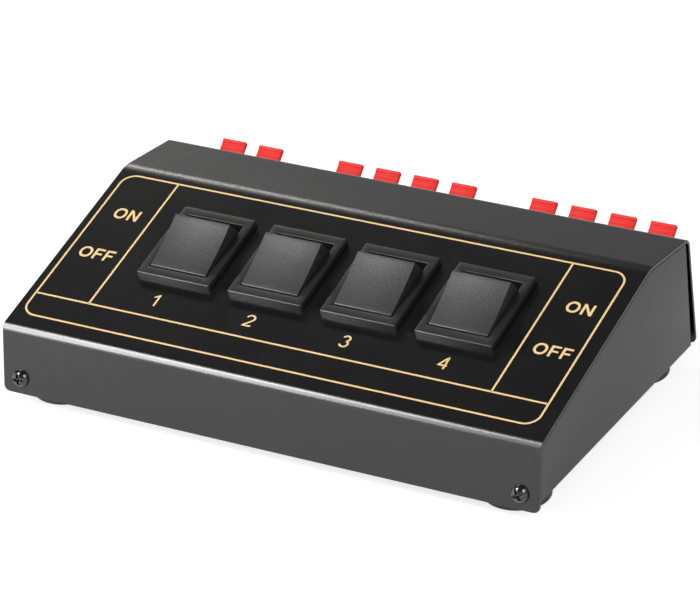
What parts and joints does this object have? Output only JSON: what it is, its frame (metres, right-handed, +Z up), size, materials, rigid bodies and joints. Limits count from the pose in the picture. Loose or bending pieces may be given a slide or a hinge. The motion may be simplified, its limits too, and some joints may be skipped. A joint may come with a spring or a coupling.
{
  "type": "speaker selector switch",
  "caption": "Desktop speaker selector: sloped black steel box with numbered rocker switches on its panel and red and black spring-lever wire terminals at the back.",
  "frame": {"origin": "on the surface under the feet, half way across the box and half way from the front screw heads to the rear lever tips", "axes": "+X to the right seen from the front, +Y to the back, +Z up"},
  "size_m": [0.182, 0.124, 0.0471],
  "materials": {
    "cover_paint": "satin",
    "chassis_paint": "satin",
    "black_screw": "gloss",
    "foot_rubber": "matte",
    "bezel_plastic": "satin",
    "paddle_plastic": "matte",
    "plunger_plastic": "matte",
    "contact_brass": "satin",
    "block_plastic": "satin",
    "block_screw": "gloss",
    "red_plastic": "satin",
    "black_plastic": "satin",
    "board_laminate": "satin",
    "red_insulation": "satin",
    "white_insulation": "satin"
  },
  "bodies": {
    "case": {"top_cover": "cover_paint", "chassis": "chassis_paint", "front_cover_screws": "black_screw", "rear_cover_screws": "black_screw", "foot_front_left": "foot_rubber", "foot_front_right": "foot_rubber", "foot_rear_left": "foot_rubber", "foot_rear_right": "foot_rubber", "rocker_body_1": "bezel_plastic", "rocker_body_2": "bezel_plastic", "rocker_body_3": "bezel_plastic", "rocker_body_4": "bezel_plastic", "switch_blades": "contact_brass", "input_terminal_block": "block_plastic", "zone_12_terminal_block": "block_plastic", "zone_34_terminal_block": "block_plastic", "terminal_block_screws": "block_screw", "terminal_spring_clips": "contact_brass", "circuit_board": "board_laminate", "zone_wires": "red_insulation", "input_wires": "white_insulation"},
    "rocker_1": {"rocker_paddle_1": "paddle_plastic", "rocker_plungers_1": "plunger_plastic"},
    "bridges_1": {"contact_bridges_1": "contact_brass"},
    "rocker_2": {"rocker_paddle_2": "paddle_plastic", "rocker_plungers_2": "plunger_plastic"},
    "bridges_2": {"contact_bridges_2": "contact_brass"},
    "rocker_3": {"rocker_paddle_3": "paddle_plastic", "rocker_plungers_3": "plunger_plastic"},
    "bridges_3": {"contact_bridges_3": "contact_brass"},
    "rocker_4": {"rocker_paddle_4": "paddle_plastic", "rocker_plungers_4": "plunger_plastic"},
    "bridges_4": {"contact_bridges_4": "contact_brass"},
    "red_lever_1": {"red_lever_1": "red_plastic"},
    "black_lever_1": {"black_lever_1": "black_plastic"},
    "red_lever_2": {"red_lever_2": "red_plastic"},
    "black_lever_2": {"black_lever_2": "black_plastic"},
    "red_lever_3": {"red_lever_3": "red_plastic"},
    "black_lever_3": {"black_lever_3": "black_plastic"},
    "red_lever_4": {"red_lever_4": "red_plastic"},
    "black_lever_4": {"black_lever_4": "black_plastic"},
    "red_lever_5": {"red_lever_5": "red_plastic"},
    "black_lever_5": {"black_lever_5": "black_plastic"},
    "red_lever_6": {"red_lever_6": "red_plastic"},
    "black_lever_6": {"black_lever_6": "black_plastic"},
    "red_lever_7": {"red_lever_7": "red_plastic"},
    "black_lever_7": {"black_lever_7": "black_plastic"},
    "red_lever_8": {"red_lever_8": "red_plastic"},
    "black_lever_8": {"black_lever_8": "black_plastic"},
    "red_lever_9": {"red_lever_9": "red_plastic"},
    "black_lever_9": {"black_lever_9": "black_plastic"},
    "red_lever_10": {"red_lever_10": "red_plastic"},
    "black_lever_10": {"black_lever_10": "black_plastic"}
  },
  "joints": [
    {"name": "rocker_1_tilt", "type": "hinge", "parent": "case", "child": "rocker_1", "pos_m": [-0.04785, -0.01128, 0.03333], "axis": [1, 0, 0], "range_deg": [-32, 0]},
    {"name": "bridges_1_tilt", "type": "hinge", "parent": "case", "child": "bridges_1", "pos_m": [-0.04785, -0.009, 0.0254], "axis": [1, 0, 0], "range_deg": [0, 14]},
    {"name": "rocker_2_tilt", "type": "hinge", "parent": "case", "child": "rocker_2", "pos_m": [-0.01595, -0.01128, 0.03333], "axis": [1, 0, 0], "range_deg": [-32, 0]},
    {"name": "bridges_2_tilt", "type": "hinge", "parent": "case", "child": "bridges_2", "pos_m": [-0.01595, -0.009, 0.0254], "axis": [1, 0, 0], "range_deg": [0, 14]},
    {"name": "rocker_3_tilt", "type": "hinge", "parent": "case", "child": "rocker_3", "pos_m": [0.01595, -0.01128, 0.03333], "axis": [1, 0, 0], "range_deg": [-32, 0]},
    {"name": "bridges_3_tilt", "type": "hinge", "parent": "case", "child": "bridges_3", "pos_m": [0.01595, -0.009, 0.0254], "axis": [1, 0, 0], "range_deg": [0, 14]},
    {"name": "rocker_4_tilt", "type": "hinge", "parent": "case", "child": "rocker_4", "pos_m": [0.04785, -0.01128, 0.03333], "axis": [1, 0, 0], "range_deg": [-32, 0]},
    {"name": "bridges_4_tilt", "type": "hinge", "parent": "case", "child": "bridges_4", "pos_m": [0.04785, -0.009, 0.0254], "axis": [1, 0, 0], "range_deg": [0, 14]},
    {"name": "red_lever_1_press", "type": "hinge", "parent": "case", "child": "red_lever_1", "pos_m": [-0.0752, 0.04698, 0.03282], "axis": [1, 0, 0], "range_deg": [-22, 0], "stiffness_Nm_per_rad": 0.006},
    {"name": "black_lever_1_press", "type": "hinge", "parent": "case", "child": "black_lever_1", "pos_m": [-0.0752, 0.04918, 0.01758], "axis": [1, 0, 0], "range_deg": [0, 22], "stiffness_Nm_per_rad": 0.006},
    {"name": "red_lever_2_press", "type": "hinge", "parent": "case", "child": "red_lever_2", "pos_m": [-0.0617, 0.04698, 0.03282], "axis": [1, 0, 0], "range_deg": [-22, 0], "stiffness_Nm_per_rad": 0.006},
    {"name": "black_lever_2_press", "type": "hinge", "parent": "case", "child": "black_lever_2", "pos_m": [-0.0617, 0.04918, 0.01758], "axis": [1, 0, 0], "range_deg": [0, 22], "stiffness_Nm_per_rad": 0.006},
    {"name": "red_lever_3_press", "type": "hinge", "parent": "case", "child": "red_lever_3", "pos_m": [-0.0323, 0.04698, 0.03282], "axis": [1, 0, 0], "range_deg": [-22, 0], "stiffness_Nm_per_rad": 0.006},
    {"name": "black_lever_3_press", "type": "hinge", "parent": "case", "child": "black_lever_3", "pos_m": [-0.0323, 0.04918, 0.01758], "axis": [1, 0, 0], "range_deg": [0, 22], "stiffness_Nm_per_rad": 0.006},
    {"name": "red_lever_4_press", "type": "hinge", "parent": "case", "child": "red_lever_4", "pos_m": [-0.0188, 0.04698, 0.03282], "axis": [1, 0, 0], "range_deg": [-22, 0], "stiffness_Nm_per_rad": 0.006},
    {"name": "black_lever_4_press", "type": "hinge", "parent": "case", "child": "black_lever_4", "pos_m": [-0.0188, 0.04918, 0.01758], "axis": [1, 0, 0], "range_deg": [0, 22], "stiffness_Nm_per_rad": 0.006},
    {"name": "red_lever_5_press", "type": "hinge", "parent": "case", "child": "red_lever_5", "pos_m": [-0.0053, 0.04698, 0.03282], "axis": [1, 0, 0], "range_deg": [-22, 0], "stiffness_Nm_per_rad": 0.006},
    {"name": "black_lever_5_press", "type": "hinge", "parent": "case", "child": "black_lever_5", "pos_m": [-0.0053, 0.04918, 0.01758], "axis": [1, 0, 0], "range_deg": [0, 22], "stiffness_Nm_per_rad": 0.006},
    {"name": "red_lever_6_press", "type": "hinge", "parent": "case", "child": "red_lever_6", "pos_m": [0.0082, 0.04698, 0.03282], "axis": [1, 0, 0], "range_deg": [-22, 0], "stiffness_Nm_per_rad": 0.006},
    {"name": "black_lever_6_press", "type": "hinge", "parent": "case", "child": "black_lever_6", "pos_m": [0.0082, 0.04918, 0.01758], "axis": [1, 0, 0], "range_deg": [0, 22], "stiffness_Nm_per_rad": 0.006},
    {"name": "red_lever_7_press", "type": "hinge", "parent": "case", "child": "red_lever_7", "pos_m": [0.0363, 0.04698, 0.03282], "axis": [1, 0, 0], "range_deg": [-22, 0], "stiffness_Nm_per_rad": 0.006},
    {"name": "black_lever_7_press", "type": "hinge", "parent": "case", "child": "black_lever_7", "pos_m": [0.0363, 0.04918, 0.01758], "axis": [1, 0, 0], "range_deg": [0, 22], "stiffness_Nm_per_rad": 0.006},
    {"name": "red_lever_8_press", "type": "hinge", "parent": "case", "child": "red_lever_8", "pos_m": [0.0498, 0.04698, 0.03282], "axis": [1, 0, 0], "range_deg": [-22, 0], "stiffness_Nm_per_rad": 0.006},
    {"name": "black_lever_8_press", "type": "hinge", "parent": "case", "child": "black_lever_8", "pos_m": [0.0498, 0.04918, 0.01758], "axis": [1, 0, 0], "range_deg": [0, 22], "stiffness_Nm_per_rad": 0.006},
    {"name": "red_lever_9_press", "type": "hinge", "parent": "case", "child": "red_lever_9", "pos_m": [0.0633, 0.04698, 0.03282], "axis": [1, 0, 0], "range_deg": [-22, 0], "stiffness_Nm_per_rad": 0.006},
    {"name": "black_lever_9_press", "type": "hinge", "parent": "case", "child": "black_lever_9", "pos_m": [0.0633, 0.04918, 0.01758], "axis": [1, 0, 0], "range_deg": [0, 22], "stiffness_Nm_per_rad": 0.006},
    {"name": "red_lever_10_press", "type": "hinge", "parent": "case", "child": "red_lever_10", "pos_m": [0.0768, 0.04698, 0.03282], "axis": [1, 0, 0], "range_deg": [-22, 0], "stiffness_Nm_per_rad": 0.006},
    {"name": "black_lever_10_press", "type": "hinge", "parent": "case", "child": "black_lever_10", "pos_m": [0.0768, 0.04918, 0.01758], "axis": [1, 0, 0], "range_deg": [0, 22], "stiffness_Nm_per_rad": 0.006}
  ],
  "couplings": [
    {"joint": "bridges_1_tilt", "follows": "rocker_1_tilt", "ratio": -0.4375},
    {"joint": "bridges_2_tilt", "follows": "rocker_2_tilt", "ratio": -0.4375},
    {"joint": "bridges_3_tilt", "follows": "rocker_3_tilt", "ratio": -0.4375},
    {"joint": "bridges_4_tilt", "follows": "rocker_4_tilt", "ratio": -0.4375}
  ]
}
